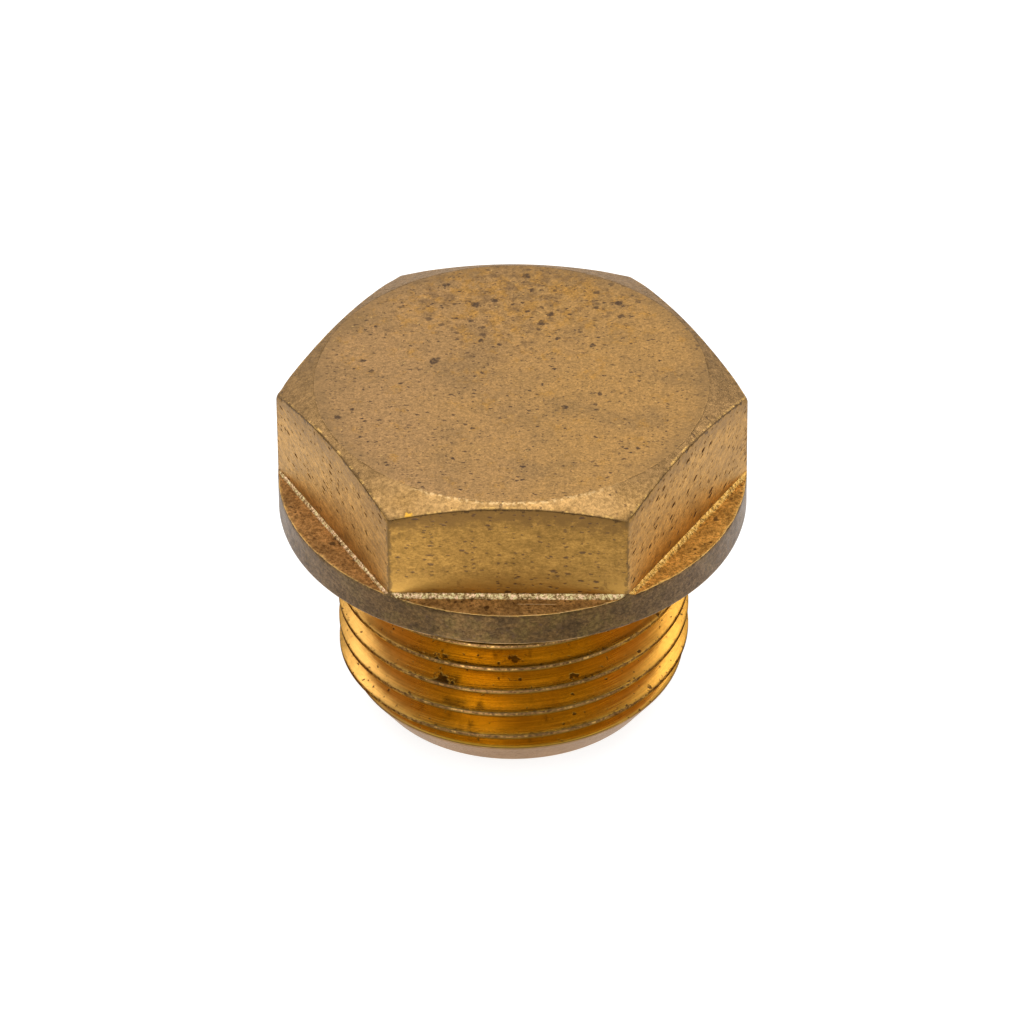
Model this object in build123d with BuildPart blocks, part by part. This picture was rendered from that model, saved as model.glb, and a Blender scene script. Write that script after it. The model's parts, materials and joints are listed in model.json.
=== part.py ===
from build123d import *
import os
from math import radians, tan

# A hexagon-head screw plug with a collar, turned and milled from one brass bar, and the
# rubber sealing ring that is captive under its collar.
#
# Millimetres. The origin is the centre of the flat end of the thread, +Z runs along the axis
# towards the head, and one flat of the hexagon faces -Y.

# Thread: G 3/8, right-hand, 19 turns to the inch, 55 degree flanks.
thread_r = 8.25
thread_pitch = 25.4 / 19
thread_depth = 0.856
flank_angle = 27.5
root_flat = 0.223
front_crest_z = 6.52

# Shank: from the end face up to the collar, with a relief that lets the tool run out.
shank_length = 10.15
end_face_r = 6.79
end_chamfer_height = 2.0
neck_r = 7.2
neck_length = 1.0

# Collar, as wide as the turned corners of the hexagon.
collar_r = 10.94
collar_height = 1.65
collar_edge = 0.06

# Seat for the ring, cut into the underside of the collar.
seat_r = 9.5
seat_depth = 0.7

# Head: 19 mm across flats.
flat_count = 6
across_flats = 19.0
head_height = 5.2
top_face_r = 9.17
top_chamfer_angle = 24.5
flat_foot_bevel = 0.2

# Sealing ring.
ring_inner_r = 7.35
ring_outer_r = 9.45
ring_height = 1.0
ring_edge_r = 0.15

# Heights above the end face.
collar_bottom_z = shank_length
ledge_z = shank_length + collar_height
top_z = ledge_z + head_height
seat_z = collar_bottom_z + seat_depth

# The flats are cut out to this distance from the axis, beyond the collar.
cutter_reach = collar_r + 1.0
# An edge counts as being at a height when it is this close to it.
pick_margin = 0.01

# The top chamfer drops this far between the top face and the collar's radius.
top_chamfer_drop = (collar_r - top_face_r) * tan(radians(top_chamfer_angle))
# The thread runs into the neck on a 45 degree cone.
run_in_top_z = collar_bottom_z - neck_length
run_in_bottom_z = run_in_top_z - (thread_r - neck_r)

# The groove between the crests is cut turn by turn. One turn starts below the end face, and the
# last one ends beside the neck, so the thread has no blind run-out. The starting angle puts a
# crest at its height on the -Y side.
groove_turns = 8
groove_start_z = -1.4
groove_overrun = 0.1
groove_z_on_x = front_crest_z + thread_pitch / 4 - thread_pitch / 2
groove_start_angle = 360 * ((groove_start_z - groove_z_on_x) / thread_pitch % 1)
root_r = thread_r - thread_depth
groove_outer_r = thread_r + groove_overrun
root_half = root_flat / 2
mouth_half = root_half + (groove_outer_r - root_r) * tan(radians(flank_angle))

with BuildPart() as groove_turn:
    with BuildLine() as groove_path:
        Helix(thread_pitch, thread_pitch, root_r)
    with BuildSketch(Plane.XZ):
        with BuildLine():
            Polyline(
                (root_r, -root_half),
                (root_r, root_half),
                (groove_outer_r, mouth_half),
                (groove_outer_r, -mouth_half),
                close=True,
            )
        make_face()
    sweep(path=groove_path.line, is_frenet=True)

with BuildPart() as plug_body:
    # The turned blank: half its section, revolved about the axis.
    with BuildSketch(Plane.XZ):
        with BuildLine():
            Polyline(
                (0, 0),
                (end_face_r, 0),
                (thread_r, end_chamfer_height),
                (thread_r, run_in_bottom_z),
                (neck_r, run_in_top_z),
                (neck_r, seat_z),
                (seat_r, seat_z),
                (seat_r, collar_bottom_z),
                (collar_r - collar_edge, collar_bottom_z),
                (collar_r, collar_bottom_z + collar_edge),
                (collar_r, top_z - top_chamfer_drop),
                (top_face_r, top_z),
                (0, top_z),
                close=True,
            )
        make_face()
    revolve(axis=Axis.Z)

    # The six flats, milled down to the ledge of the collar.
    with BuildSketch(Plane.XY.offset(ledge_z)):
        Circle(cutter_reach)
        RegularPolygon(across_flats / 2, flat_count, major_radius=False, mode=Mode.SUBTRACT)
    extrude(amount=head_height, mode=Mode.SUBTRACT)

    # The bevel that the cutter's worn corner leaves at the foot of each flat.
    feet = plug_body.edges().filter_by(GeomType.LINE).filter_by(Plane.XY)
    feet = feet.filter_by_position(Axis.Z, ledge_z - pick_margin, ledge_z + pick_margin)
    chamfer(feet, flat_foot_bevel)

    with Locations([(0, 0, groove_start_z + turn * thread_pitch) for turn in range(groove_turns)]):
        add(groove_turn.part, rotation=(0, 0, groove_start_angle), mode=Mode.SUBTRACT)

with BuildPart() as sealing_ring:
    with BuildSketch(Plane.XY.offset(seat_z)):
        Circle(ring_outer_r)
        Circle(ring_inner_r, mode=Mode.SUBTRACT)
    extrude(amount=-ring_height)
    fillet(sealing_ring.faces().sort_by(Axis.Z)[0].edges(), ring_edge_r)

plug_body.part.label = "plug_body"
sealing_ring.part.label = "sealing_ring"

os.makedirs("parts", exist_ok=True)
export_step(plug_body.part, "parts/plug_body.step")
export_step(sealing_ring.part, "parts/sealing_ring.step")
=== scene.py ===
import json
from math import acos, asin, cos, pi, radians, sin, tan

import bpy
import numpy as np
from mathutils import Matrix, Vector, noise


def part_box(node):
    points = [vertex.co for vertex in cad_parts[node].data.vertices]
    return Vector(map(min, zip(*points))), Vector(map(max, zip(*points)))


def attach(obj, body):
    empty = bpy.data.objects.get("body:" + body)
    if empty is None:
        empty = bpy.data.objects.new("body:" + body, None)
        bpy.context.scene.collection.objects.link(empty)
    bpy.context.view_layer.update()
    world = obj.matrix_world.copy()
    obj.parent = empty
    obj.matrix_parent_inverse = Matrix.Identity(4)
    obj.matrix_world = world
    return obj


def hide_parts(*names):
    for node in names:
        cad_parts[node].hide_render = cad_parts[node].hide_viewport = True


# A brass screw plug with a hexagon head and a collar, and its rubber ring. Lengths are in
# millimetres until a mesh is made, and MM turns them into the frame's metres.
MM = 0.001

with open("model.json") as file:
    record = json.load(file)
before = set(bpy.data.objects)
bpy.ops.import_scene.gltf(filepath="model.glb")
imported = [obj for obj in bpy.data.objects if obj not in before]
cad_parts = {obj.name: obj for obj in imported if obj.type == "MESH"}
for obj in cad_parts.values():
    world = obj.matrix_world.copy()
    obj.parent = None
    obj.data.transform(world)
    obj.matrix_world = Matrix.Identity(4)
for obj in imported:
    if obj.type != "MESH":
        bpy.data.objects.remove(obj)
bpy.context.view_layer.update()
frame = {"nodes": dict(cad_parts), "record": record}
mounts = {mount["name"]: mount for mount in frame["record"]["mounts"]}

# Sizes that the frame gives.
top_z = (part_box("plug_body")[1] / MM).z
seat_z = (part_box("sealing_ring")[1] / MM).z
apothem = -mounts["flat_front"]["pos_m"][1] / MM
collar_bottom_z = mounts["collar_rim"]["pos_m"][2] / MM
thread_r = mounts["thread"]["dims"]["r_mm"]

# Sizes of the turned and milled shape that the frame doesn't name.
collar_r = 10.94
collar_height = 1.65
ledge_z = collar_bottom_z + collar_height
top_face_r = 9.17
top_chamfer_slope = tan(radians(24.5))
corner_softness = 0.035
foot_bevel = 0.2
foot_share = {"front": 1.0, "left": 0.66, "right": 0.9, "back": 1.0}
collar_edge = 0.06
seat_r = 9.5
neck_r = 7.2
run_in_top_z = 9.15
end_face_r = 6.79
end_chamfer_height = 2.0
pitch = 25.4 / 19
thread_depth = 0.856
crest_half = 0.1115
flank_slope = tan(radians(55 / 2))
front_crest_z = 6.52
front_angle = 1.5 * pi

# How finely the shape is drawn.
fillet_rows = 4
fillet_end_edge = 0.35
close_row = 0.12
sharpest_turn = 2.4
half_pitch_rows = [0.035, 0.062, 0.083, 0.1, 0.13, 0.19, 0.26, 0.33, 0.385, 0.425, 0.46]
end_rim_z = 0.04
end_rim_overhang = 0.035
least_gap = 0.015

SIDES = ["front", "left", "right", "back"]
ZONES = ["top_face", "chamfer", "collar_wall", "collar_lip", "underside", "neck", "thread",
         "end_face"]
SIDED = ["flat", "foot", "ledge"]
ZONES += [part + "_" + side for part in SIDED for side in SIDES]


def smooth_min(a, b, width):
    """The smaller of two lengths, rounded where they are within width of each other."""
    near = np.maximum(width - np.abs(a - b), 0) / width
    return np.minimum(a, b) - near * near * width / 4


def field(points, scale, seed, octaves=1):
    """Smooth noise, about -1 to 1, at each point; its features are 1 / scale mm wide."""
    moved = points * np.asarray(scale, float) + 17.3 * seed
    total = np.zeros(len(points))
    for octave in range(octaves):
        values = [noise.noise(Vector(p)) for p in moved * 2**octave]
        total += np.array(values) / 2**octave
    return total


# ------------------------------------------------------------------ the shape of the plug
def column_angles():
    """Directions round the axis at which the shape is drawn, closest at the hexagon's corners."""
    half_strip = pi / 6 - acos(apothem / collar_r)
    near = half_strip * np.array([0.5, 0.85, 1.0, 1.2, 1.7, 2.7, 4.4])
    first = apothem * tan(pi / 6 - near[-1])
    along = np.arctan(np.linspace(first, 0, 29)[1:] / apothem)
    half = np.concatenate([near, pi / 6 - along])
    sector = np.concatenate([[0], half, (pi / 3 - half[:-1])[::-1]])
    return np.concatenate([sector + k * pi / 3 for k in range(6)])


def hexagon_radius(angles):
    """Distance from the axis to the flats, or to the turned corners between them."""
    from_normal = (angles % (pi / 3)) - pi / 6
    return smooth_min(apothem / np.cos(from_normal), np.full(len(angles), collar_r), corner_softness)


def flat_top(r):
    """Height at which the chamfer reaches that far from the axis."""
    return top_z - (r - top_face_r) * top_chamfer_slope


def from_corner(turns):
    """Distance round the axis from the nearest corner of the hexagon."""
    return collar_r * np.abs((turns + pi / 6) % (pi / 3) - pi / 6)


def column_sides():
    """Which flat each column is on, going round from +X."""
    order = ["back", "back", "back", "left", "front", "right"]
    return [order[i * len(order) // len(angles)] for i in range(len(angles))]


def fillet_ends(before, corner, after, radius):
    """Where a fillet of that radius starts and ends, on the two lines that meet at a corner."""
    a, b = before - corner, after - corner
    length_a, length_b = np.linalg.norm(a, axis=1), np.linalg.norm(b, axis=1)
    a = a / np.maximum(length_a, 1e-9)[:, None]
    b = b / np.maximum(length_b, 1e-9)[:, None]
    turn = np.pi - np.arccos(np.clip((a * b).sum(1), -1, 1))
    reach = radius * np.tan(np.minimum(turn, sharpest_turn) / 2)
    reach = np.minimum(reach, 0.4 * np.minimum(length_a, length_b))
    return corner + a * reach[:, None], corner + b * reach[:, None]


def shares(number):
    """Even steps from 0 to 1, with a close one at each end that keeps the fillets crisp."""
    steps = np.linspace(0, 1, number + 1)[1:-1]
    return np.unique(np.concatenate([[close_row / number], steps, [1 - close_row / number, 1]]))


def rounded_profile(corners, radii, rows, names):
    """Rows of (r, z) for every column, down a profile with rounded corners.

    corners is a list of (r, z) pairs, each an array over the columns or a number. Returns the
    points [row, column, 2], each row's edge value, and the zone of each strip between rows.
    """
    count = len(angles)
    pts = np.array([[np.broadcast_to(r, count), np.broadcast_to(z, count)] for r, z in corners])
    pts = pts.transpose(0, 2, 1)
    lines, edge, zone = [pts[0]], [0.0], []
    start = pts[0]
    for i, (number, name) in enumerate(zip(rows, names)):
        corner = pts[i + 1]
        last = i == len(radii)
        entry, leave = corner, corner
        if not last:
            entry, leave = fillet_ends(pts[i], corner, pts[i + 2], radii[i])
        for share in shares(number):
            lines.append(start + (entry - start) * share)
            edge.append(0.0)
            zone.append(name)
        if last:
            break
        edge[-1] = fillet_end_edge
        for k in range(1, fillet_rows + 1):
            t = k / fillet_rows
            lines.append(((1 - t) ** 2 * entry.T + 2 * t * (1 - t) * corner.T + t * t * leave.T).T)
            edge.append(1.0 if k < fillet_rows else fillet_end_edge)
            zone.append(name if k <= fillet_rows // 2 else names[i + 1])
        start = leave
    return np.array(lines), np.array(edge), zone


def head_profile():
    """The plug from the rim of its top face down to the neck under the collar."""
    r = hexagon_radius(angles)
    near_corner = np.exp(-(from_corner(angles) / 0.75) ** 2)
    bevel = foot_bevel * np.array([foot_share[side] for side in column_sides()])
    foot_r = np.minimum(r + bevel, collar_r)
    foot_z = ledge_z + bevel - (foot_r - r)
    corners = [
        (0.9, top_z), (top_face_r, top_z), (r, flat_top(r)), (r, ledge_z + bevel),
        (foot_r, foot_z), (collar_r, foot_z), (collar_r, collar_bottom_z + collar_edge),
        (collar_r - collar_edge, collar_bottom_z), (seat_r, collar_bottom_z), (seat_r, seat_z),
        (neck_r, seat_z), (neck_r, run_in_top_z),
    ]
    radii = [0.10, 0.05 + 0.30 * near_corner, 0.03, 0.03, 0.05, 0.06, 0.06, 0.05, 0.05, 0.1]
    rows = [30, 6, 14, 2, 5, 8, 1, 3, 2, 2, 2]
    names = ["top_face", "chamfer", "flat", "foot", "ledge", "collar_wall", "collar_lip",
             "underside", "neck", "neck", "neck"]
    return rounded_profile(corners, radii, rows, names)


def thread_radius(z, phase):
    """Radius of the thread at height z, where phase is the distance in pitches from a crest."""
    away = np.abs((phase + 0.5) % 1 - 0.5) * pitch
    flank = thread_r - (away - crest_half) / flank_slope
    r = smooth_min(np.full_like(z, thread_r), flank, 0.05)
    r = -smooth_min(-r, np.full_like(z, thread_depth - thread_r), 0.16)
    end_cone = end_face_r + z * (thread_r - end_face_r) / end_chamfer_height
    run_in_cone = neck_r + run_in_top_z - z
    return smooth_min(smooth_min(r, end_cone, 0.03), run_in_cone, 0.05)


class Shell:
    """Vertices and faces of one closed mesh, gathered strip by strip."""

    def __init__(self):
        self.points, self.edge, self.faces, self.zone = [], [], [], []

    def add_points(self, points, edge=0.0):
        first = len(self.points)
        self.points += [tuple(p) for p in points]
        self.edge += [edge] * len(points)
        return np.arange(first, len(self.points))

    def add_face(self, corners, zone):
        kept = [c for k, c in enumerate(corners) if c != corners[k - 1]]
        if len(kept) > 2:
            self.faces.append(kept)
            self.zone.append(zone)

    def add_strip(self, upper, lower, zone, sides=None):
        for i in range(len(upper)):
            n = (i + 1) % len(upper)
            name = zone + "_" + sides[i] if zone in SIDED else zone
            self.add_face([upper[i], lower[i], lower[n], upper[n]], name)


def ring_points(turns, r, z):
    return np.stack([r * np.cos(turns), r * np.sin(turns), np.broadcast_to(z, len(turns))], 1)


def build_head(shell):
    """Top face, chamfer, flats, collar and neck. Returns the lowest ring, on every column."""
    lines, edge, zone = head_profile()
    middle = shell.add_points([(0, 0, top_z)])
    hub = shell.add_points(ring_points(angles[::6], 0.3, top_z))
    for i in range(len(hub)):
        shell.add_face([middle[0], hub[i], hub[(i + 1) % len(hub)]], "top_face")
    above = shell.add_points(ring_points(angles, lines[0][:, 0], lines[0][:, 1]))
    fan = len(angles) // len(hub)
    for i in range(len(hub)):
        n = (i + 1) % len(hub)
        outer = [above[(i * fan + k) % len(above)] for k in range(fan + 1)]
        half = fan // 2
        for k in range(fan):
            near = hub[i] if k < half else hub[n]
            shell.add_face([near, outer[k], outer[k + 1]], "top_face")
        shell.add_face([hub[i], outer[half], hub[n]], "top_face")
    for line, worn, name in zip(lines[1:], edge[1:], zone):
        below = shell.add_points(ring_points(angles, line[:, 0], line[:, 1]), edge=worn)
        shell.add_strip(above, below, name, column_sides())
        above = below
    return above


def join_neck(shell, turns, neck_ring):
    """Steps down from the neck's columns to the thread's, which are half as many."""
    upper = shell.add_points(ring_points(turns, neck_r, run_in_top_z))
    for i in range(len(turns)):
        n = (i + 1) % len(turns)
        fine = [neck_ring[(2 * i + k) % len(neck_ring)] for k in range(3)]
        shell.add_face([upper[i], fine[1], fine[0]], "neck")
        shell.add_face([upper[i], upper[n], fine[1]], "neck")
        shell.add_face([upper[n], fine[2], fine[1]], "neck")
    return upper


def helix_rows():
    """Height on +X and phase of each row of the thread, and the number of rows in a turn."""
    half = np.array(half_pitch_rows)
    phases = np.concatenate([[0], half, [0.5], 1 - half[::-1]])
    crest_on_x = front_crest_z - pitch * front_angle / (2 * pi)
    first, last = -int(crest_on_x / pitch) - 2, 12
    row_z = [crest_on_x + pitch * (turn + f) for turn in range(first, last) for f in phases]
    return row_z, list(phases) * (last - first), len(phases)


def build_thread(shell, neck_ring):
    """The thread, drawn along its own helix, from the neck to the end face."""
    turns = angles[::2]
    upper = join_neck(shell, turns, neck_ring)
    lower = shell.add_points(ring_points(turns, end_face_r + end_rim_overhang, end_rim_z))
    row_z, row_phase, per_turn = helix_rows()
    index = np.zeros((len(row_z), len(turns)), int)
    for j, (base, phase) in enumerate(zip(row_z, row_phase)):
        z = base + pitch * turns / (2 * pi)
        r = thread_radius(z, np.full_like(z, phase))
        free = (z > end_rim_z + least_gap) & (z < run_in_top_z - least_gap)
        index[j] = np.where(z <= end_rim_z + least_gap, lower, upper)
        if free.any():
            index[j][free] = shell.add_points(ring_points(turns, r, z)[free])
    for j in range(len(row_z) - per_turn - 1):
        for i in range(len(turns)):
            n, next_row = (i + 1, j) if i + 1 < len(turns) else (0, j + per_turn)
            corners = [index[j][i], index[next_row][n], index[next_row + 1][n], index[j + 1][i]]
            shell.add_face(corners, "thread")
    return turns, lower


def build_end(shell, turns, above):
    """The flat end face, with a slightly rounded rim."""
    rings = [(end_face_r + 0.01, 0.012), (end_face_r - 0.03, 0.0)]
    rings += [(r, 0.0) for r in np.linspace(end_face_r - 0.15, 0.5, 9)]
    for r, z in rings:
        below = shell.add_points(ring_points(turns, r, z))
        shell.add_strip(above, below, "end_face")
        above = below
    middle = shell.add_points([(0, 0, 0)])
    for i in range(len(turns)):
        shell.add_face([above[i], middle[0], above[(i + 1) % len(turns)]], "end_face")


def new_object(name, points, faces):
    mesh = bpy.data.meshes.new(name)
    mesh.from_pydata([tuple(p) for p in np.asarray(points) * MM], [], faces)
    mesh.validate()
    mesh.shade_smooth()
    made = bpy.data.objects.new(name, mesh)
    bpy.context.scene.collection.objects.link(made)
    return made


def wear(points, edge):
    """Knocks the sharp edges in a little, unevenly."""
    x, y, z = points.T
    r, turn = np.hypot(x, y), np.arctan2(y, x)
    dent = np.clip(field(points, (1.6, 1.6, 1.6), 1, octaves=2), 0, 1)
    worn = edge * (z > collar_bottom_z)
    r = r - worn * (0.012 + 0.05 * dent)
    return np.stack([r * np.cos(turn), r * np.sin(turn), z - 0.02 * worn * dent], 1)


def make_plug():
    shell = Shell()
    neck_ring = build_head(shell)
    turns, lower = build_thread(shell, neck_ring)
    build_end(shell, turns, lower)
    points, edge = np.array(shell.points), np.array(shell.edge)
    x, y, z = points.T
    turn = np.arctan2(y, x)
    drop = flat_top(hexagon_radius(turn)) - z
    plug = new_object("plug_body_finished", wear(points, edge), shell.faces)
    for name, values in (("edge", edge), ("corner", from_corner(turn)), ("drop", drop)):
        layer = plug.data.attributes.new(name, "FLOAT", "POINT")
        layer.data.foreach_set("value", np.array(values, np.float32))
    for zone in ZONES:
        plug.data.materials.append(brass(zone))
    numbers = [ZONES.index(name) for name in shell.zone]
    plug.data.polygons.foreach_set("material_index", numbers)
    return plug


# ------------------------------------------------------------------------------ materials
class Nodes:
    """A material's node tree over object coordinates in millimetres, one call for each node."""

    def __init__(self, name):
        self.material = bpy.data.materials.new(name)
        self.material.use_nodes = True
        self.tree = self.material.node_tree
        self.shader = self.tree.nodes["Principled BSDF"]
        place = self.tree.nodes.new("ShaderNodeTexCoord").outputs["Object"]
        self.mm = self.vector("MULTIPLY", place, (1 / MM, 1 / MM, 1 / MM))
        split = self.tree.nodes.new("ShaderNodeSeparateXYZ")
        self.put(split.inputs[0], self.mm)
        self.x, self.y, self.z = split.outputs
        self.heights = []

    def put(self, socket, value):
        if isinstance(value, bpy.types.NodeSocket):
            self.tree.links.new(value, socket)
        elif value is not None:
            socket.default_value = value

    def add(self, kind, *values, **settings):
        node = self.tree.nodes.new("ShaderNode" + kind)
        for key, value in settings.items():
            setattr(node, key, value)
        for socket, value in zip(node.inputs, values):
            self.put(socket, value)
        return node.outputs[0]

    def vector(self, operation, a, b=None):
        return self.add("VectorMath", a, b, operation=operation)

    def math(self, operation, a, b=None, c=None):
        return self.add("Math", a, b, c, operation=operation)

    def window(self, value, low, high, to_low=0.0, to_high=1.0):
        node = self.tree.nodes.new("ShaderNodeMapRange")
        node.interpolation_type = "SMOOTHSTEP"
        self.put(node.inputs["Value"], value)
        for key, number in (("From Min", low), ("From Max", high), ("To Min", to_low),
                            ("To Max", to_high)):
            self.put(node.inputs[key], number)
        return node.outputs["Result"]

    def cloud(self, scale, detail=3.0, rough=0.55, base=None, seed=0.0):
        """Soft noise, 0.5 on average; scale is features per mm, along each axis or all."""
        scale = scale if isinstance(scale, tuple) else (scale, scale, scale)
        moved = self.vector("MULTIPLY", base or self.mm, scale)
        node = self.tree.nodes.new("ShaderNodeTexNoise")
        self.put(node.inputs["Vector"], self.vector("ADD", moved, (seed, seed * 2.3, -seed)))
        for key, value in (("Scale", 1.0), ("Detail", detail), ("Roughness", rough)):
            node.inputs[key].default_value = value
        return node.outputs["Fac"]

    def warped(self, amount, scale=5.0, base=None):
        """The place, moved about a little, so that round marks come out ragged."""
        node = self.tree.nodes.new("ShaderNodeTexNoise")
        self.put(node.inputs["Vector"], base or self.mm)
        node.inputs["Scale"].default_value = scale
        shift = self.vector("SUBTRACT", node.outputs["Color"], (0.5, 0.5, 0.5))
        shift = self.vector("MULTIPLY", shift, (amount, amount, amount))
        return self.vector("ADD", base or self.mm, shift)

    def dots(self, per_mm, radius, share, base=None, stretch=(1, 1, 1), seed=0.0, soft=0.45):
        """Scattered marks up to radius mm in size, in that share of the cells."""
        scale = tuple(per_mm * s for s in stretch)
        moved = self.vector("MULTIPLY", base or self.mm, scale)
        node = self.tree.nodes.new("ShaderNodeTexVoronoi")
        self.put(node.inputs["Vector"], self.vector("ADD", moved, (seed, -seed, seed * 1.7)))
        node.inputs["Scale"].default_value = 1.0
        split = self.tree.nodes.new("ShaderNodeSeparateColor")
        self.put(split.inputs[0], node.outputs["Color"])
        size = self.window(split.outputs[0], 1 - share, 1.0, 0.0, radius * per_mm)
        inside = self.math("SUBTRACT", size, node.outputs["Distance"])
        return self.window(inside, 0.0, radius * per_mm * soft)

    def spot(self, centre, radius, base, soft=0.4):
        away = self.distance(self.vector("SUBTRACT", base, centre))
        return self.window(away, radius * (1 - soft), radius, 1.0, 0.0)

    def spots(self, marks, base):
        """The marks in a list of (x, y, z, radius), as one mask."""
        mask = None
        for x, y, z, radius in marks:
            made = self.spot((x, y, z), radius, base)
            mask = made if mask is None else self.math("MAXIMUM", mask, made)
        return mask

    def colour(self, value):
        return value if isinstance(value, bpy.types.NodeSocket) else (*value, 1)

    def mix(self, mask, a, b, strength=1.0, blend="MIX"):
        node = self.tree.nodes.new("ShaderNodeMix")
        node.data_type = "RGBA"
        node.blend_type = blend
        if strength != 1.0 and isinstance(mask, bpy.types.NodeSocket):
            mask = self.math("MULTIPLY", mask, strength)
        self.put(node.inputs[0], mask)
        self.put(node.inputs[6], self.colour(a))
        self.put(node.inputs[7], self.colour(b))
        return node.outputs[2]

    def shade(self, colour, value, low, high, at_low=0.3, at_high=0.7):
        """Darkens or lightens the colour with a noise value."""
        grey = self.window(value, at_low, at_high, low, high)
        return self.mix(1.0, colour, self.add("CombineColor", grey, grey, grey), blend="MULTIPLY")

    def grain(self, colour, amount, scale=7.0, base=None, seed=41.0):
        """A crisp speckle, a few hundredths of a millimetre in size."""
        value = self.cloud(scale, detail=2.5, rough=0.8, base=base, seed=seed)
        return self.shade(colour, value, 1 - amount, 1 + amount, 0.36, 0.64)

    def attribute(self, name):
        node = self.tree.nodes.new("ShaderNodeAttribute")
        node.attribute_name = name
        return node.outputs["Fac"]

    def distance(self, vector):
        node = self.tree.nodes.new("ShaderNodeVectorMath")
        node.operation = "LENGTH"
        self.put(node.inputs[0], vector)
        return node.outputs["Value"]

    def length_xy(self):
        square = self.math("MULTIPLY", self.x, self.x)
        return self.math("SQRT", self.math("MULTIPLY_ADD", self.y, self.y, square))

    def angle(self):
        return self.math("ARCTAN2", self.y, self.x)

    def flat_place(self):
        """Across the flat, up it, and a number for the flat, each in mm."""
        angle = self.angle()
        sector = self.math("FLOOR", self.math("DIVIDE", angle, pi / 3))
        inside = self.math("FLOORED_MODULO", angle, pi / 3)
        across = self.math("MULTIPLY", self.math("TANGENT", self.math("SUBTRACT", inside, pi / 6)),
                           apothem)
        return self.add("CombineXYZ", across, self.z, self.math("MULTIPLY", sector, 11.0))

    def helix_phase(self):
        """Height above the middle of the nearest crest, in mm."""
        rise = self.math("MULTIPLY", self.math("SUBTRACT", self.angle(), front_angle),
                         pitch / (2 * pi))
        above = self.math("SUBTRACT", self.math("SUBTRACT", self.z, rise), front_crest_z)
        turns = self.math("FLOORED_MODULO", self.math("ADD", above, pitch / 2), pitch)
        return self.math("SUBTRACT", turns, pitch / 2)

    def finish(self, colour, roughness, value, spread=0.08):
        """Joins up the shader: colour, a roughness that varies with value, and the relief."""
        self.put(self.shader.inputs["Base Color"], colour)
        varied = self.window(value, 0.25, 0.75, -spread, spread)
        self.put(self.shader.inputs["Roughness"], self.math("ADD", varied, roughness))
        normal = None
        for height, depth in self.heights:
            node = self.tree.nodes.new("ShaderNodeBump")
            node.inputs["Strength"].default_value = 1.0
            node.inputs["Distance"].default_value = depth * MM
            self.put(node.inputs["Height"], height)
            self.put(node.inputs["Normal"], normal)
            normal = node.outputs["Normal"]
        self.put(self.shader.inputs["Normal"], normal)


# Tones, in linear light. A GLANCE is the tint of a metal seen edge-on.
GRIME = (0.055, 0.032, 0.016)
PIT = (0.075, 0.045, 0.030)
BARE = (0.85, 0.55, 0.18)
TOP_LEFT = (0.46, 0.265, 0.108)
TOP_RIGHT = (0.50, 0.28, 0.092)
TOP_DULL = (0.30, 0.18, 0.075)
TOP_BROWN = (0.19, 0.107, 0.048)
TOP_ORANGE = (0.54, 0.27, 0.050)
# Worn metal and painted highlight along the front of the rim.
TOP_RIM_WEAR_AND_GLINT = (0.80, 0.54, 0.25)
CHAMFER_CLEAN = (0.46, 0.27, 0.100)
CHAMFER_DULL = (0.37, 0.21, 0.070)
# Painted shade on the chamfer at the sides and back.
CHAMFER_SIDE_SHADE = (0.25, 0.145, 0.056)
SPARK = (0.95, 0.80, 0.55)
FLAT_SHADOW = (0.16, 0.085, 0.025)
# Painted glow of reflected light near the foot of a flat.
FLAT_PAINTED_GLOW = (0.42, 0.235, 0.055)
FOOT_PINK = (0.95, 0.66, 0.42)
FOOT_GREEN = (0.78, 0.68, 0.34)
FOOT_GOLD = (0.90, 0.62, 0.22)
FOOT_ORANGE = (0.86, 0.50, 0.13)
FOOT_DARK = (0.14, 0.08, 0.03)
BURR = (0.62, 0.37, 0.11)
CHIP = (0.66, 0.40, 0.12)
NICK = (0.80, 0.42, 0.05)
COLLAR = (0.108, 0.061, 0.022)
CORNER = (0.15, 0.085, 0.030)
COLLAR_DARK = (0.070, 0.042, 0.018)
COLLAR_OLIVE = (0.11, 0.070, 0.022)
# Painted light on the collar wall at the left and right.
COLLAR_SIDE_LIGHT = (0.17, 0.105, 0.055)
SCRATCH = (0.5, 0.33, 0.1)
LIP = (0.30, 0.18, 0.085)
THREAD_CLEAN = (0.50, 0.298, 0.040)
THREAD_DULL = (0.43, 0.240, 0.026)
# Tones painted for the light on the thread's left and right sides.
THREAD_LEFT_LIT = (0.53, 0.284, 0.070)
THREAD_RIGHT_LIT = (0.55, 0.276, 0.046)
FLAT_GLANCE = (0.98, 0.94, 0.90)
PIT_GLANCE = (0.25, 0.17, 0.10)
CHAMFER_GLANCE = (0.98, 0.89, 0.80)
THREAD_GLANCE = (0.9, 0.72, 0.5)
CREST_GLANCE = (0.14, 0.10, 0.06)
END_GLANCE = (0.82, 0.70, 0.60)
THREAD_GRIME = (0.09, 0.048, 0.016)
# Painted shade in the thread's grooves.
THREAD_ROOT_SHADE = (0.31, 0.15, 0.012)
CREST = (0.16, 0.082, 0.031)
PLAIN_CLEAN = (0.48, 0.30, 0.10)
PLAIN_DULL = (0.30, 0.17, 0.055)
END_CLEAN = (0.36, 0.23, 0.13)
END_DULL = (0.30, 0.19, 0.105)
RUBBER = (0.016, 0.016, 0.018)
RUBBER_DUST = (0.06, 0.055, 0.05)


def edge_wear(n, colour):
    """Bare metal showing here and there along the worn edges."""
    chips = n.window(n.cloud(3.0, detail=4, seed=3.1), 0.45, 0.6)
    worn = n.math("MULTIPLY", n.window(n.attribute("edge"), fillet_end_edge, 0.95), chips)
    return n.mix(worn, colour, BARE, 0.5)


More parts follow.
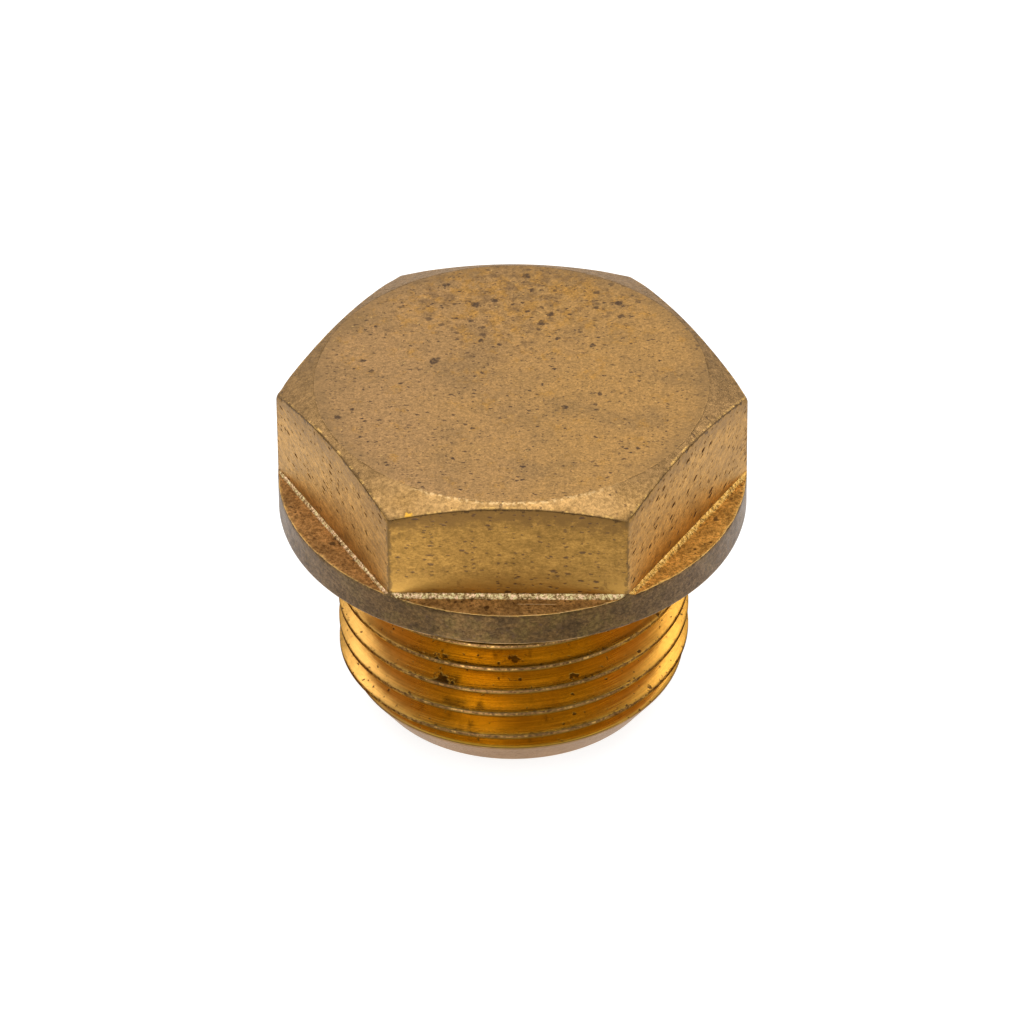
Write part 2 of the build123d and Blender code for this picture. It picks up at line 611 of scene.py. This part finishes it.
def corner_strip(n, colour):
    """The turned strip that is left between two flats keeps the collar's dark skin."""
    reach = n.window(n.cloud(2.5, detail=5, rough=0.7, seed=8), 0.35, 0.65, -0.05, 0.12)
    away = n.math("SUBTRACT", n.attribute("corner"), reach)
    return n.mix(n.window(away, 0.0, 0.08, 1.0, 0.0), colour, CORNER, 0.8)


# The middle of the stained area, and the larger dark spots as x, y and radius.
TOP_STAIN_CENTRE = (0.3, 7.4, 0)
TOP_SPOTS = [
    (-3.65, 1.6, 0.29), (-6.95, 1.6, 0.19), (-6.5, 0.8, 0.18), (-7.95, -2.8, 0.2),
    (-1.4, 0.75, 0.15), (-0.95, 6.35, 0.22), (0.5, 8.35, 0.26), (0.8, 7.2, 0.2),
    (-1.8, 6.0, 0.26), (1.7, 5.3, 0.24), (5.0, 5.2, 0.24), (4.9, 6.2, 0.22), (2.5, -1.9, 0.2),
    (1.4, -0.2, 0.14), (3.7, 2.9, 0.17), (-0.65, 2.9, 0.15), (-1.5, 3.2, 0.17),
    (5.9, -5.0, 0.13), (-2.6, -5.9, 0.13), (2.1, 3.4, 0.15), (1.3, 4.6, 0.25),
    (-3.2, 7.6, 0.22), (4.1, -0.9, 0.16),
]


def top_stains(n, colour, back):
    """Brown blotches and an orange tarnish, both thickest at the back of the top face."""
    stain = n.cloud(1.9, detail=6, rough=0.66, base=n.warped(0.3, 2), seed=9)
    blotch = n.math("MULTIPLY_ADD", back, 0.16, stain)
    colour = n.mix(n.window(blotch, 0.59, 0.78), colour, TOP_BROWN, 0.62)
    warm = n.cloud(1.5, detail=6, rough=0.7, seed=14)
    warm = n.math("MULTIPLY_ADD", back, 0.10, warm)
    return n.mix(n.window(warm, 0.54, 0.72), colour, TOP_ORANGE, 0.6)


def top_specks(n, back):
    """Dark pits and flecks of four sizes, and the larger spots."""
    ragged = n.warped(0.2, scale=7.0)
    pits = n.dots(2.0, 0.13, 0.65, base=ragged, stretch=(0.75, 1.3, 1))
    flecks = n.dots(3.6, 0.09, 0.8, base=ragged, stretch=(0.65, 1.3, 1), seed=4)
    tiny = n.dots(6.5, 0.06, 0.8, base=ragged, stretch=(0.7, 1.35, 1), seed=14)
    patchy = n.window(n.cloud(0.7, detail=3, seed=23), 0.36, 0.56, 0.5, 1.0)
    marks = [(x, y, top_z, radius) for x, y, radius in TOP_SPOTS]
    named = n.math("MULTIPLY", n.spots(marks, n.warped(0.34, scale=4.5)),
                   n.window(n.cloud(6.0, detail=4, seed=17), 0.36, 0.55, 0.6, 1.0))
    dark = n.math("MAXIMUM", n.math("MULTIPLY", n.math("MAXIMUM", pits, flecks), patchy),
                  n.math("MAXIMUM", n.math("MULTIPLY", tiny, 0.8), named))
    rust = n.dots(1.9, 0.17, 0.9, base=n.warped(0.3, scale=5.0), stretch=(0.8, 1.1, 1), seed=33)
    return n.math("MAXIMUM", dark, n.math("MULTIPLY", rust, n.window(back, 0.25, 0.75, 0.0, 0.8)))


def top_rim(n, colour):
    """The rim: duller at the sides and back; at the front, a thin broken line of wear and painted
    highlight.
    """
    outer = n.math("MULTIPLY_ADD", n.cloud(1.6, detail=5, rough=0.7, seed=29), 1.2, n.length_xy())
    edge = n.math("MULTIPLY", n.window(outer, top_face_r - 0.5, top_face_r + 0.6),
                  n.window(n.y, -7.5, -5.5))
    colour = n.mix(edge, colour, TOP_DULL, 0.45)
    pale = n.dots(3.6, 0.06, 0.4, base=n.warped(0.2, scale=7.0), seed=21)
    colour = n.mix(pale, colour, BARE, 0.45)
    # Painted highlight: bright only along the front of the rim, where it also stands for wear.
    front = n.window(n.y, -7.0, -8.6)
    rim = n.math("MULTIPLY", n.window(n.length_xy(), top_face_r - 0.12, top_face_r), front)
    bright = n.window(n.cloud(6.0, detail=3, seed=12), 0.44, 0.6)
    return n.mix(n.math("MULTIPLY", rim, bright), colour, TOP_RIM_WEAR_AND_GLINT, 0.7)


def top_face(n):
    middling = n.cloud(3.6, detail=5, rough=0.75, seed=2)
    broad = n.cloud(0.33, detail=3, seed=5)
    across = n.window(n.math("MULTIPLY_ADD", broad, 9.0, n.x), -3.0, 9.0)
    colour = n.mix(across, TOP_LEFT, TOP_RIGHT)
    cloudy = n.window(n.cloud(0.30, detail=5, rough=0.6, seed=7), 0.47, 0.66)
    colour = n.mix(cloudy, colour, TOP_DULL, 0.5)
    away = n.vector("MULTIPLY", n.vector("SUBTRACT", n.mm, TOP_STAIN_CENTRE), (0.75, 1, 0))
    back = n.window(n.distance(away), 8.5, 1.0)
    colour = top_stains(n, colour, back)
    colour = n.shade(colour, middling, 0.86, 1.12)
    colour = n.grain(colour, 0.16, scale=(6.5, 7.5, 1))
    colour = n.grain(colour, 0.13, scale=(11.0, 13.0, 1), seed=3)
    dark = top_specks(n, back)
    colour = top_rim(n, n.mix(dark, colour, PIT, 0.88))
    n.heights = [(middling, 0.008), (n.math("SUBTRACT", 1.0, dark), 0.003)]
    n.finish(colour, 0.46, middling)


def rim_grime(n, colour, below):
    """Dirt along the edge between the chamfer and a flat: a thin line with blots on it."""
    away = n.math("ABSOLUTE", n.attribute("drop"))
    blot = n.window(n.cloud(2.2, detail=6, rough=0.75, seed=25), 0.46, 0.70, 0.0, 0.26)
    line = n.window(n.cloud(1.3, detail=4, seed=27), 0.35, 0.5, 0.015, 0.05)
    width = n.math("ADD", n.math("MULTIPLY", blot, 1.0 if below else 0.3), line)
    share = n.window(n.math("SUBTRACT", away, width), -0.05, 0.02, 1.0, 0.0)
    return n.mix(share, colour, GRIME, 0.75 if below else 0.35)


NICK_PLACE = (-4.5, -9.42, 16.4)


def chamfer(n):
    fine = n.cloud((8, 8, 12), detail=4, rough=0.7)
    broad = n.cloud(0.6, detail=4, seed=2)
    # Painted shade: the chamfer is darker at the sides and back than at the front.
    front = n.window(n.y, -6.5, -9.0)
    colour = n.mix(n.window(broad, 0.4, 0.65), CHAMFER_CLEAN, CHAMFER_DULL)
    colour = n.mix(front, CHAMFER_SIDE_SHADE, colour)
    colour = n.shade(colour, n.cloud(2.2, detail=4, rough=0.7, seed=6), 0.80, 1.15)
    colour = n.grain(colour, 0.22, scale=6.0)
    # A broken bright line along the front of the rim: worn metal with a painted highlight.
    rim = n.window(n.length_xy(), top_face_r + 0.2, top_face_r)
    rim_wear_and_glint = n.window(n.cloud(6.0, detail=3, seed=12), 0.44, 0.60)
    rim_wear_and_glint = n.math("MULTIPLY", n.math("MULTIPLY", rim, rim_wear_and_glint), n.window(n.y, -7.6, -8.8))
    colour = n.mix(rim_wear_and_glint, colour, TOP_RIM_WEAR_AND_GLINT, 0.75)
    dark = n.dots(3.2, 0.09, 0.6, base=n.warped(0.2))
    colour = n.mix(dark, colour, PIT, 0.6)
    chips = n.window(n.cloud(2.3, detail=6, rough=0.75, seed=19), 0.49, 0.60)
    low = n.window(n.attribute("drop"), -0.08, -0.03)
    colour = n.mix(n.math("MULTIPLY", low, chips), rim_grime(n, colour, False), CHIP, 0.8)
    colour = n.mix(n.spot(NICK_PLACE, 0.21, n.warped(0.4, 7)), colour, NICK, 0.85)
    n.heights = [(n.math("SUBTRACT", fine, dark), 0.02)]
    n.put(n.shader.inputs["Specular Tint"], (*CHAMFER_GLANCE, 1.0))
    n.finish(colour, 0.42, fine)


# Each flat has its own tones, partly tarnish and partly painted light and shade: the front flat is
# painted darker than the others.
FLAT_LOOKS = {
    "front": dict(clean=(0.315, 0.171, 0.041), dull=(0.21, 0.112, 0.028), grain=(1.6, 5.5, 1),
                  lean=0.0, marks=0.10, pits=1.1, shadow=0.85, depth=0.78, glow=0.75),
    "left": dict(clean=(0.46, 0.255, 0.070), dull=(0.30, 0.160, 0.040), grain=(0.8, 6.0, 1),
                 lean=0.35, marks=0.20, pits=0.9, shadow=0.5, depth=0.85, glow=0.0),
    "right": dict(clean=(0.45, 0.245, 0.064), dull=(0.32, 0.168, 0.040), grain=(1.6, 4.0, 1),
                  lean=-0.5, marks=0.10, pits=1.6, shadow=0.5, depth=0.95, glow=0.0),
    "back": dict(clean=(0.43, 0.25, 0.09), dull=(0.3, 0.17, 0.055), grain=(1.2, 6.0, 1),
                 lean=0.3, marks=0.1, pits=0.5, shadow=0.4, depth=0.72, glow=0.0),
}


def leaned(n, base, lean):
    """Tilts the marks on a flat, so that they climb along it."""
    split = n.tree.nodes.new("ShaderNodeSeparateXYZ")
    n.put(split.inputs[0], base)
    up = n.math("MULTIPLY_ADD", split.outputs[0], lean, split.outputs[1])
    return n.add("CombineXYZ", split.outputs[0], up, split.outputs[2])


def flat(n, side):
    look = FLAT_LOOKS[side]
    place = n.flat_place()
    tilted = leaned(n, place, look["lean"])
    milled = n.cloud(look["grain"], detail=6, rough=0.75, base=tilted)
    middling = n.cloud((1.8, 2.8, 1), detail=6, rough=0.68, base=tilted, seed=3)
    broad = n.cloud((0.35, 0.5, 1), detail=3, base=place, seed=5)
    colour = n.mix(n.window(broad, 0.38, 0.66), look["clean"], look["dull"], 0.5)
    colour = n.shade(colour, middling, 0.74, 1.18)
    colour = n.shade(colour, milled, 1 - look["marks"], 1 + look["marks"] * 0.9, 0.36, 0.64)
    colour = n.grain(colour, 0.18, scale=(6, 9, 1), base=tilted)
    # Painted light: a glow near the foot of the flat, lighter towards the ledge; its strength is the
    # look's glow.
    low = n.window(n.math("MULTIPLY_ADD", middling, 0.8, n.z), ledge_z + 1.9, ledge_z + 0.8)
    colour = n.mix(low, colour, FLAT_PAINTED_GLOW, look["glow"])
    drop = n.attribute("drop")
    ragged = n.math("MULTIPLY_ADD", n.cloud(2.0, detail=6, rough=0.7, seed=11), -3.0, drop)
    colour = n.mix(n.window(ragged, -1.2, -0.3, 1.0, 0.0), colour, FLAT_SHADOW, look["shadow"])
    blotch = n.window(n.cloud(1.9, detail=5, rough=0.7, seed=31), 0.57, 0.66)
    colour = n.mix(blotch, colour, FLAT_SHADOW, look["shadow"] * 0.7)
    moved = n.warped(0.12, scale=6, base=tilted)
    dark = n.dots(2.4, 0.13, look["pits"] * 0.8, base=moved, stretch=(0.6, 1.4, 1))
    small = n.dots(4.4, 0.08, look["pits"] * 0.9, base=moved, stretch=(0.6, 1.4, 1), seed=6)
    dark = n.math("MAXIMUM", dark, n.math("MULTIPLY", small, 0.85))
    colour = n.mix(dark, colour, PIT, look["depth"])
    colour = corner_strip(n, rim_grime(n, colour, True))
    n.heights = [(n.math("SUBTRACT", milled, dark), 0.012)]
    n.put(n.shader.inputs["Specular Tint"], n.mix(dark, FLAT_GLANCE, PIT_GLANCE))
    n.finish(colour, 0.40, milled)


# Each foot's own tone; the right one's orange is partly painted reflected light.
FOOT_TONES = {"front": (0.42, 0.28, 0.12), "left": (0.50, 0.30, 0.13), "right": (0.60, 0.32, 0.06),
              "back": (0.6, 0.42, 0.2)}


def foot(n, side):
    """The broken grain that the cutter's corner left, bright and dark by turns."""
    grit = n.cloud(7.0, detail=3, rough=0.8)
    tint = n.cloud(4.0, detail=2, seed=4)
    # On the right foot, the gold and orange stand partly for a painted glow of reflected light.
    pair = (FOOT_GOLD, FOOT_ORANGE) if side == "right" else (FOOT_GREEN, FOOT_PINK)
    bright = n.mix(n.window(tint, 0.45, 0.55), *pair)
    colour = n.mix(n.window(grit, 0.50, 0.57), FOOT_TONES[side], bright, 0.9)
    colour = n.mix(n.window(grit, 0.47, 0.41), colour, FOOT_DARK, 0.9)
    n.heights = [(grit, 0.05)]
    n.finish(corner_strip(n, colour), 0.4, grit)


LEDGE_TONES = {"front": (0.47, 0.30, 0.125), "left": (0.41, 0.232, 0.085),
               "right": (0.58, 0.325, 0.078), "back": (0.42, 0.24, 0.09)}
# The scratch's middle, and the dark spots as x, y and radius.
SCRATCH_PLACE = (1.3, -10.02)
LEDGE_SPOTS = [(-0.9, -9.62, 0.2), (-1.0, -10.3, 0.17), (0.9, -10.05, 0.12), (-8.2, -5.6, 0.18),
               (9.5, -3.6, 0.18)]


def ledge_scratch(n):
    """A short straight scratch on the front ledge."""
    x, y = SCRATCH_PLACE
    width = n.window(n.math("ABSOLUTE", n.math("SUBTRACT", n.y, y)), 0.012, 0.03, 1.0, 0.0)
    length = n.window(n.math("ABSOLUTE", n.math("SUBTRACT", n.x, x)), 0.8, 0.95, 1.0, 0.0)
    return n.math("MULTIPLY", width, length)


def ledge(n, side):
    fine = n.cloud(7.0, detail=4, rough=0.75)
    colour = n.shade(LEDGE_TONES[side], n.cloud(1.3, detail=4, rough=0.6, seed=2), 0.72, 1.2)
    colour = n.shade(colour, fine, 0.60, 1.4, 0.36, 0.64)
    dark = n.dots(4.2, 0.10, 0.75, base=n.warped(0.25, scale=5))
    dark = n.math("MULTIPLY", dark, n.window(n.cloud(1.1, detail=3, seed=6), 0.35, 0.55, 0.3, 1.0))
    marks = [(x, y, ledge_z, radius) for x, y, radius in LEDGE_SPOTS]
    dark = n.math("MAXIMUM", dark, n.spots(marks, n.warped(0.3, scale=3)))
    colour = n.mix(dark, colour, GRIME, 0.75)
    colour = n.mix(ledge_scratch(n), colour, SPARK, 0.8)
    edge = n.window(n.cloud(3.0, detail=5, rough=0.75, seed=8), 0.40, 0.62, 0.0, 0.13)
    inner = n.window(n.math("ADD", n.length_xy(), edge), collar_r - 0.05, collar_r - 0.01)
    broken = n.window(n.cloud(1.6, detail=5, rough=0.7, seed=18), 0.42, 0.56, 0.15, 1.0)
    colour = n.mix(n.math("MULTIPLY", inner, broken), colour, BURR, 0.85)
    n.heights = [(fine, 0.02)]
    n.finish(colour, 0.44, fine)


def collar_wall(n):
    fine = n.cloud((4, 4, 6), detail=5, rough=0.75)
    patch = n.cloud((1.2, 1.2, 1.7), detail=6, rough=0.7, seed=3)
    colour = n.mix(n.window(patch, 0.40, 0.62), COLLAR, COLLAR_DARK)
    colour = n.mix(n.window(n.cloud(0.9, detail=6, rough=0.7, seed=6), 0.46, 0.62), colour,
                   COLLAR_OLIVE, 0.8)
    scratch = n.dots(1.3, 0.10, 0.45, base=n.warped(0.3, 4), stretch=(1, 1, 2.4), seed=5)
    colour = n.mix(scratch, colour, SCRATCH, 0.7)
    colour = n.mix(n.dots(2.4, 0.1, 0.4, base=n.warped(0.2, 4), seed=9), colour, GRIME, 0.6)
    # Painted light: the collar wall is lighter towards the left and right.
    side = n.window(n.math("ABSOLUTE", n.x), 3.0, 9.5)
    colour = n.mix(side, colour, COLLAR_SIDE_LIGHT, 0.55)
    colour = n.grain(n.shade(colour, fine, 0.72, 1.28, 0.36, 0.64), 0.22)
    specks = n.dots(4.0, 0.09, 0.5, base=n.warped(0.2, 5), seed=13)
    colour = n.mix(specks, colour, PIT, 0.6)
    upper = n.window(n.z, ledge_z - 0.06, ledge_z - 0.02)
    broken = n.window(n.cloud(2.6, detail=5, rough=0.7, seed=28), 0.50, 0.60)
    colour = n.mix(n.math("MULTIPLY", upper, broken), colour, BURR, 0.6)
    n.heights = [(fine, 0.015)]
    n.finish(colour, 0.44, patch)


def lip(n):
    fine = n.cloud(5.0, detail=4, rough=0.7)
    colour = n.mix(n.window(fine, 0.4, 0.6), LIP, BURR, 0.6)
    n.heights = [(fine, 0.02)]
    n.finish(colour, 0.4, fine)


def turned(n):
    """Plain turned metal, with rings about the axis: for the faces that are seldom seen."""
    rings = n.add("CombineXYZ", n.math("MULTIPLY", n.length_xy(), 9.0),
                  n.math("MULTIPLY", n.z, 9.0))
    marks = n.cloud(1.0, detail=3, base=rings)
    colour = n.mix(n.window(n.cloud(0.6, detail=4), 0.38, 0.66), PLAIN_CLEAN, PLAIN_DULL)
    colour = n.shade(colour, marks, 0.84, 1.14)
    colour = n.shade(colour, n.cloud(6.0, detail=4, rough=0.7, seed=2), 0.85, 1.12)
    dark = n.dots(2.2, 0.11, 0.35, base=n.warped(0.2))
    colour = n.mix(dark, colour, PIT, 0.6)
    n.heights = [(marks, 0.02), (n.math("SUBTRACT", 1.0, dark), 0.02)]
    n.finish(edge_wear(n, colour), 0.38, marks)


# Lumps of dirt in the thread, as x, y, z and radius. Their places are squeezed by
# THREAD_SQUEEZE, so that the lumps come out longer round the axis than along it.
THREAD_SQUEEZE = (0.75, 1, 1.15)
THREAD_BLOBS = [(-2.4, -7.3, 7.36, 0.42), (-2.1, -7.5, 7.27, 0.34), (-2.4, -7.4, 5.90, 0.46),
                (-2.0, -7.5, 5.80, 0.33), (-1.2, -7.9, 5.65, 0.24), (0.11, -7.75, 7.75, 0.32),
                (0.35, -7.75, 7.66, 0.27), (3.7, -6.3, 9.2, 0.22), (2.25, -7.4, 6.3, 0.25),
                (-3.3, -6.6, 4.25, 0.2), (-1.6, -7.6, 4.15, 0.22), (5.0, -4.4, 7.9, 0.24)]


def thread_lumps(n, phase):
    """Dark specks and lumps of dirt, most of them just above a crest."""
    ragged = n.warped(0.25, scale=6)
    dark = n.math("MAXIMUM", n.dots(2.0, 0.12, 0.55, base=ragged),
                  n.dots(4.0, 0.07, 0.5, base=ragged, seed=8))
    patch = n.cloud((1.0, 1.0, 1.8), detail=6, rough=0.75, seed=51)
    dark = n.math("MAXIMUM", dark, n.math("MULTIPLY", n.window(patch, 0.64, 0.68),
                                          n.window(phase, 0.05, 0.42, 1.0, 0.0)))
    blobs = n.vector("MULTIPLY", n.warped(0.8, scale=3.5), THREAD_SQUEEZE)
    return n.math("MAXIMUM", dark, n.spots(THREAD_BLOBS, blobs))


def thread_grime(n, colour, phase):
    """A dark band of uneven width above each crest."""
    width = n.cloud((2.4, 2.4, 3.0), detail=6, rough=0.75, seed=7)
    reach = n.window(width, 0.50, 0.70, 0.075, 0.22)
    grime = n.math("MULTIPLY", n.window(n.math("SUBTRACT", phase, reach), -0.02, 0.015, 1.0, 0.0),
                   n.window(phase, 0.03, 0.07))
    return n.mix(grime, colour, THREAD_GRIME, 0.8)


def beside_crest(n, phase, aside):
    """A narrow strip on both sides of the crest, narrower at the sides of the plug."""
    noise_in_edge = n.cloud((3.0, 3.0, 2.0), detail=5, rough=0.7, seed=37)
    strip = n.math("MULTIPLY_ADD", noise_in_edge, 0.12, n.math("ABSOLUTE", phase))
    band = n.window(aside, 0, 1, 0.215, 0.178)
    return n.window(n.math("SUBTRACT", strip, band), 0.0, -0.04)


def crests(n, colour, phase, aside, beside, fine):
    """The worn crest itself, and the dirt beside it, which is patchy at the sides."""
    worn = n.window(n.cloud(1.8, detail=5, rough=0.7, seed=39), 0.44, 0.56, 0.15, 0.7)
    keep = n.math("MINIMUM", n.math("ADD", worn, n.window(aside, 0, 1, 0.8, 0.0)), 0.8)
    colour = n.mix(n.math("MULTIPLY", beside, keep), colour, THREAD_GRIME)
    ridge = n.math("ABSOLUTE", n.math("SUBTRACT", phase, 0.025))
    crest = n.window(n.math("MULTIPLY_ADD", fine, 0.09, ridge), 0.085, 0.12, 1.0, 0.0)
    bare = n.window(n.cloud(3.5, detail=6, rough=0.75, seed=9), 0.50, 0.64)
    tone = n.shade(n.mix(bare, CREST, BURR, 0.5), fine, 0.45, 1.45, 0.38, 0.62)
    return n.mix(crest, colour, tone)


def end_chamfer(n, colour, broad, streak):
    """The smooth cone at the thread's end. Returns the colour and the cone's mask."""
    cone = n.math("MULTIPLY_ADD", n.z, (thread_r - end_face_r) / end_chamfer_height, end_face_r)
    inside = n.math("SUBTRACT", n.length_xy(), cone)
    low = n.window(n.z, end_chamfer_height + 0.1, end_chamfer_height - 0.1)
    on_cone = n.math("MULTIPLY", n.window(inside, -0.06, -0.02), low)
    burr = n.math("MULTIPLY", n.window(inside, -0.13, -0.07), low)
    colour = n.mix(n.math("MULTIPLY", burr, n.window(streak, 0.35, 0.5)), colour, THREAD_GRIME, 0.8)
    smooth = n.grain(n.mix(n.window(broad, 0.4, 0.6), END_CLEAN, END_DULL), 0.08)
    return n.mix(on_cone, colour, smooth), on_cone


def thread(n):
    phase = n.helix_phase()
    along = n.add("CombineXYZ", n.math("MULTIPLY", n.x, 0.35),
                  n.math("MULTIPLY_ADD", n.y, 0.35, n.math("MULTIPLY", n.z, 0.8)),
                  n.math("MULTIPLY", phase, 30.0))
    streak = n.cloud(1.0, detail=5, rough=0.7, base=along)
    fine = n.cloud(7.0, detail=4, rough=0.7, seed=2)
    broad = n.cloud(0.5, detail=4, seed=5)
    colour = n.mix(n.window(broad, 0.4, 0.65), THREAD_CLEAN, THREAD_DULL, 0.7)
    colour = n.shade(colour, streak, 0.70, 1.26)
    colour = n.shade(colour, fine, 0.88, 1.1)
    # Painted shade: each groove darker towards its root, under the turn above.
    colour = n.mix(n.window(phase, 0.22, 0.56), colour, THREAD_ROOT_SHADE, 0.6)
    # Painted light: towards the plug's left and right the thread takes a tone painted for how the
    # light falls on its sides.
    aside = n.window(n.math("ABSOLUTE", n.math("SUBTRACT", n.x, 0.2)), 2.6, 6.4)
    side_light_tone = n.mix(n.window(n.x, -1.0, 1.0), THREAD_LEFT_LIT, THREAD_RIGHT_LIT)
    side_light_tone = n.shade(side_light_tone, n.cloud(2.2, detail=5, rough=0.7, seed=33), 0.86, 1.08)
    side_light_tone = n.shade(side_light_tone, streak, 0.82, 1.12)
    colour = n.mix(aside, colour, side_light_tone)
    dark = thread_lumps(n, phase)
    colour = n.mix(dark, colour, GRIME, 0.85)
    colour = thread_grime(n, colour, phase)
    beside = beside_crest(n, phase, aside)
    colour = crests(n, colour, phase, aside, beside, fine)
    colour, on_cone = end_chamfer(n, colour, broad, streak)
    n.heights = [(streak, 0.008), (n.math("SUBTRACT", 1.0, dark), 0.02)]
    glance = n.mix(beside, THREAD_GLANCE, CREST_GLANCE)
    n.put(n.shader.inputs["Specular Tint"], n.mix(on_cone, glance, END_GLANCE))
    n.finish(colour, n.window(aside, 0, 1, 0.21, 0.33), streak, spread=0.04)


WHOLE_LOOKS = {"top_face": top_face, "chamfer": chamfer, "collar_wall": collar_wall,
               "collar_lip": lip, "thread": thread}
SIDED_LOOKS = {"flat": flat, "foot": foot, "ledge": ledge}


def brass(zone):
    n = Nodes("brass_" + zone)
    part, _, side = zone.partition("_")
    if part in SIDED_LOOKS:
        SIDED_LOOKS[part](n, side)
    else:
        WHOLE_LOOKS.get(zone, turned)(n)
    n.shader.inputs["Metallic"].default_value = 1.0
    return n.material


def rubber():
    n = Nodes("seal_rubber")
    dust = n.cloud(1.5, detail=5, rough=0.7)
    grain = n.cloud(9.0, detail=4)
    colour = n.mix(n.window(dust, 0.45, 0.75), RUBBER, RUBBER_DUST)
    n.heights = [(grain, 0.01)]
    n.finish(colour, 0.66, dust, spread=0.12)
    return n.material


# ------------------------------------------------------------------------------- the stage
# The floor is in millimetres, just below the plug so that the two don't share a plane. The lamps
# are in metres and watts.
floor_half = 900
floor_z = -0.02
floor_grey, floor_glow, world_glow = 0.4, 0.80, 0.85
lights_aim = (0, 0, 0.009)
SOFT_BOXES = [("soft_back_left", (-0.41, 0.34, 0.455), 0.24, 0.75),
              ("soft_back_right", (0.41, 0.34, 0.455), 0.24, 0.75),
              ("overhead", (0.0, -0.08, 0.65), 0.34, 1.1)]
pool_lamp, pool_centre = (-0.12, -0.22, 0.3), (-0.0056, -0.0185, 0)
pool_radius, pool_power = 0.0048, 44.0


def make_camera():
    """A long lens, looking down on the plug from the front."""
    distance, elevation, azimuth, roll = 403.3, radians(37.626), radians(1.428), radians(-0.515)
    target = Vector((-0.039, 0, 9.392))
    away = Vector((sin(azimuth) * cos(elevation), -cos(azimuth) * cos(elevation), sin(elevation)))
    data = bpy.data.cameras.new("camera")
    data.sensor_width = 36
    data.lens = 302.66
    data.clip_start, data.clip_end = 0.01, 20
    camera = bpy.data.objects.new("camera", data)
    bpy.context.scene.collection.objects.link(camera)
    turn = (-away).to_track_quat("-Z", "Y").to_matrix() @ Matrix.Rotation(roll, 3, "Z")
    camera.matrix_world = Matrix.Translation((target + away * distance) * MM) @ turn.to_4x4()
    bpy.context.scene.camera = camera


def aim_lamp(data, place, direction):
    lamp = bpy.data.objects.new(data.name, data)
    bpy.context.scene.collection.objects.link(lamp)
    turn = direction.to_track_quat("-Z", "Y").to_matrix().to_4x4()
    lamp.matrix_world = Matrix.Translation(place) @ turn


def soft_box(name, place, side, power):
    """A square lamp that faces the plug."""
    data = bpy.data.lights.new(name, "AREA")
    data.shape = "SQUARE"
    data.size = side
    data.energy = power
    aim_lamp(data, place, Vector(lights_aim) - Vector(place))


def pool_of_light():
    """A narrow beam on the floor in front of the plug, which shows only in the thread."""
    reach = Vector(pool_centre) - Vector(pool_lamp)
    data = bpy.data.lights.new("floor_pool", "SPOT")
    data.energy, data.shadow_soft_size = pool_power, 0.0005
    data.spot_size, data.spot_blend = 2 * asin(pool_radius / reach.length), 0.25
    aim_lamp(data, pool_lamp, reach)


def make_stage():
    corners = [(x * floor_half, y * floor_half, floor_z) for x, y in
               [(-1, -1), (1, -1), (1, 1), (-1, 1)]]
    floor = new_object("floor", corners, [(0, 1, 2, 3)])
    n = Nodes("floor_paper")
    n.shader.inputs["Base Color"].default_value = (floor_grey, floor_grey, floor_grey, 1)
    n.shader.inputs["Roughness"].default_value = 0.9
    n.shader.inputs["Emission Color"].default_value = (1, 1, 1, 1)
    n.shader.inputs["Emission Strength"].default_value = floor_glow
    floor.data.materials.append(n.material)
    world = bpy.data.worlds.new("studio")
    world.use_nodes = True
    background = world.node_tree.nodes["Background"]
    background.inputs["Color"].default_value = (1, 1, 1, 1)
    background.inputs["Strength"].default_value = world_glow
    bpy.context.scene.world = world
    for name, place, side, power in SOFT_BOXES:
        soft_box(name, place, side, power)
    pool_of_light()
    bpy.context.scene.view_settings.view_transform = "Standard"


angles = column_angles()
make_camera()
make_stage()
plug = make_plug()
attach(plug, "root")
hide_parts("plug_body")
ring = frame["nodes"]["sealing_ring"]
ring.data.materials.clear()
ring.data.materials.append(rubber())
